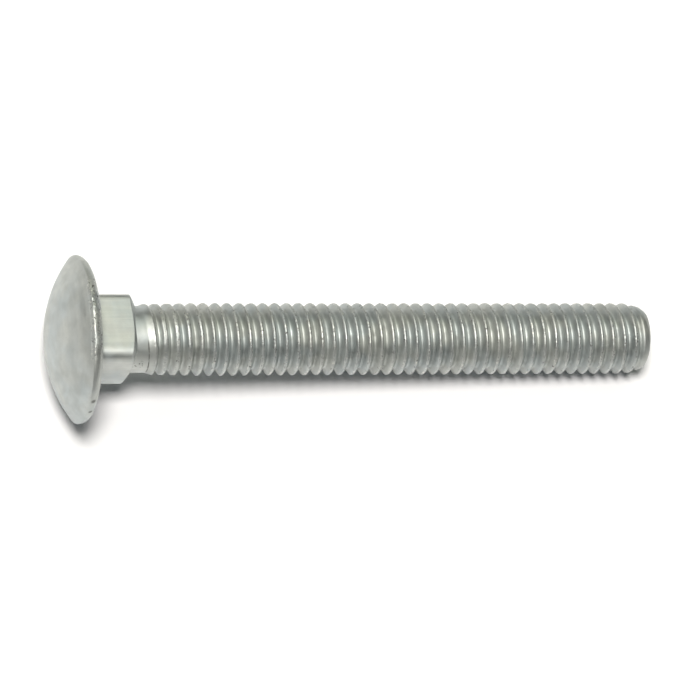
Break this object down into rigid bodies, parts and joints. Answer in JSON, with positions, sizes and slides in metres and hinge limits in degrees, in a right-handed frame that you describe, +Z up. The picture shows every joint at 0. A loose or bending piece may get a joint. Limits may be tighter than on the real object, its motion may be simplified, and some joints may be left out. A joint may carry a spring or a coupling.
{
  "type": "carriage bolt",
  "caption": "Round-head square-neck carriage bolt with a full coarse thread and a chamfered point, lying on its side.",
  "frame": {"origin": "centre of the bounding box's footprint, on the floor that the bolt lies on", "axes": "+Z up; +X from the domed head towards the point, in the vertical plane through the bolt's axis, which falls 4.7 degrees towards the point; +Y across"},
  "size_m": [0.0803, 0.0214, 0.0213],
  "materials": {
    "zinc_plate": "satin zinc plate on cold-forged steel"
  },
  "bodies": {
    "root": {"bolt": "zinc_plate"}
  },
  "joints": []
}
